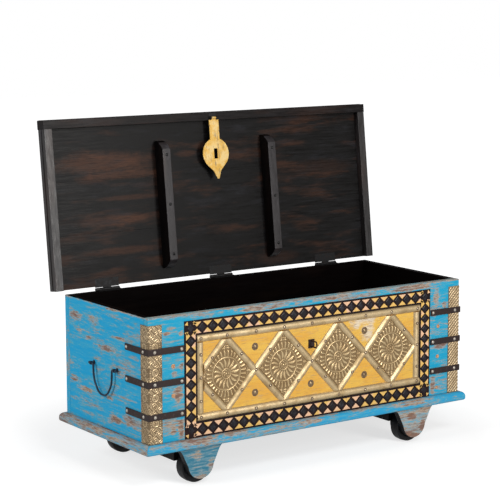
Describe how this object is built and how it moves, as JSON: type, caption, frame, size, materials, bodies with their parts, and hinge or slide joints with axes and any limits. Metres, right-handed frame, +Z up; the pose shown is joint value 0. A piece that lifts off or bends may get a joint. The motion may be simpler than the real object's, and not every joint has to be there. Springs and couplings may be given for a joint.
{
  "type": "wooden chest",
  "caption": "Painted wooden storage chest on small wheels, with a hinged lid, brass hasp, side drop handles and a brass-decorated front.",
  "frame": {"origin": "middle of the footprint of the whole chest with the lid open, on the floor under the wheels", "axes": "+X along the chest's length to its right, seen from the decorated front; +Y from the front to the back; +Z up"},
  "size_m": [1.1, 0.5398, 0.9256],
  "materials": {
    "blue_paint": "bright blue paint on wood, worn through to grey and tan wood along the grain and edges",
    "dark_wood": "near-black stained wood with reddish-brown streaks, dull",
    "black_wood": "black painted wood, worn at the rims",
    "brass": "old embossed brass sheet, tarnished olive brown in the hollows and pale on the high spots",
    "iron": "dark brown forged iron with brighter rubbed nail heads",
    "yellow_paint": "warm yellow painted board, worn pale in places",
    "lattice": "dark strip with a row of diamonds and yellow triangles between them"
  },
  "bodies": {
    "chest": {"axle_blocks": "black_wood", "back_panel": "blue_paint", "border_bottom": "lattice", "border_left": "lattice", "border_right": "lattice", "border_top": "lattice", "bottom_board": "dark_wood", "brass_strips_long": "brass", "brass_strips_short": "brass", "corner_angle_left": "brass", "corner_angle_right": "brass", "corner_straps_left": "iron", "corner_straps_right": "iron", "diamond_strips_falling": "brass", "diamond_strips_rising": "brass", "foot_bracket_back_left": "blue_paint", "foot_bracket_back_right": "blue_paint", "foot_bracket_front_left": "blue_paint", "foot_bracket_front_right": "blue_paint", "foot_rail_left": "black_wood", "foot_rail_right": "black_wood", "front_panel": "blue_paint", "handle_eyes_left": "iron", "handle_eyes_right": "iron", "hinge_box_leaves": "iron", "hinge_box_screws": "iron", "hinge_pins": "iron", "left_panel": "blue_paint", "padlock_staple": "iron", "panel_backing": "yellow_paint", "panel_tacks": "brass", "plinth_back": "blue_paint", "plinth_front": "blue_paint", "plinth_left": "blue_paint", "plinth_right": "blue_paint", "right_panel": "blue_paint", "rosette_plates": "brass", "strap_nails": "iron", "wheel_axles": "iron"},
    "lid": {"lid_board_back": "dark_wood", "lid_board_middle": "dark_wood", "lid_board_front": "dark_wood", "lid_rim_front": "dark_wood", "lid_rim_left": "dark_wood", "lid_rim_right": "dark_wood", "lid_batten_left": "dark_wood", "lid_batten_right": "dark_wood", "batten_screws": "iron", "hinge_lid_leaves": "iron", "hinge_lid_screws": "iron", "hasp_eye": "iron"},
    "hasp": {"hasp": "brass", "hasp_pin": "iron"},
    "handle_left": {"handle_left": "iron"},
    "handle_right": {"handle_right": "iron"},
    "wheel_front_left": {"wheel_front_left": "black_wood"},
    "wheel_front_right": {"wheel_front_right": "black_wood"},
    "wheel_back_left": {"wheel_back_left": "black_wood"},
    "wheel_back_right": {"wheel_back_right": "black_wood"}
  },
  "joints": [
    {"name": "lid_hinge", "type": "hinge", "parent": "chest", "child": "lid", "pos_m": [0, 0.19782, 0.4553], "axis": [1, 0, 0], "range_deg": [0, 96.7]},
    {"name": "hasp_swing", "type": "hinge", "parent": "lid", "child": "hasp", "pos_m": [-0.005, 0.22725, 0.90897], "axis": [-1, 0, 0], "range_deg": [0, 98.64]},
    {"name": "handle_left_swing", "type": "hinge", "parent": "chest", "child": "handle_left", "pos_m": [-0.53, -0.03018, 0.295], "axis": [0, 1, 0], "range_deg": [0, 100]},
    {"name": "handle_right_swing", "type": "hinge", "parent": "chest", "child": "handle_right", "pos_m": [0.53, -0.03018, 0.295], "axis": [0, -1, 0], "range_deg": [0, 100]},
    {"name": "wheel_front_left_spin", "type": "hinge", "parent": "chest", "child": "wheel_front_left", "pos_m": [-0.365, -0.21018, 0.045], "axis": [0, 1, 0], "continuous": true},
    {"name": "wheel_front_right_spin", "type": "hinge", "parent": "chest", "child": "wheel_front_right", "pos_m": [0.357, -0.21018, 0.045], "axis": [0, 1, 0], "continuous": true},
    {"name": "wheel_back_left_spin", "type": "hinge", "parent": "chest", "child": "wheel_back_left", "pos_m": [-0.365, 0.14982, 0.045], "axis": [0, 1, 0], "continuous": true},
    {"name": "wheel_back_right_spin", "type": "hinge", "parent": "chest", "child": "wheel_back_right", "pos_m": [0.357, 0.14982, 0.045], "axis": [0, 1, 0], "continuous": true}
  ],
  "couplings": [
    {"joint": "hasp_swing", "follows": "lid_hinge", "ratio": 1.02}
  ]
}
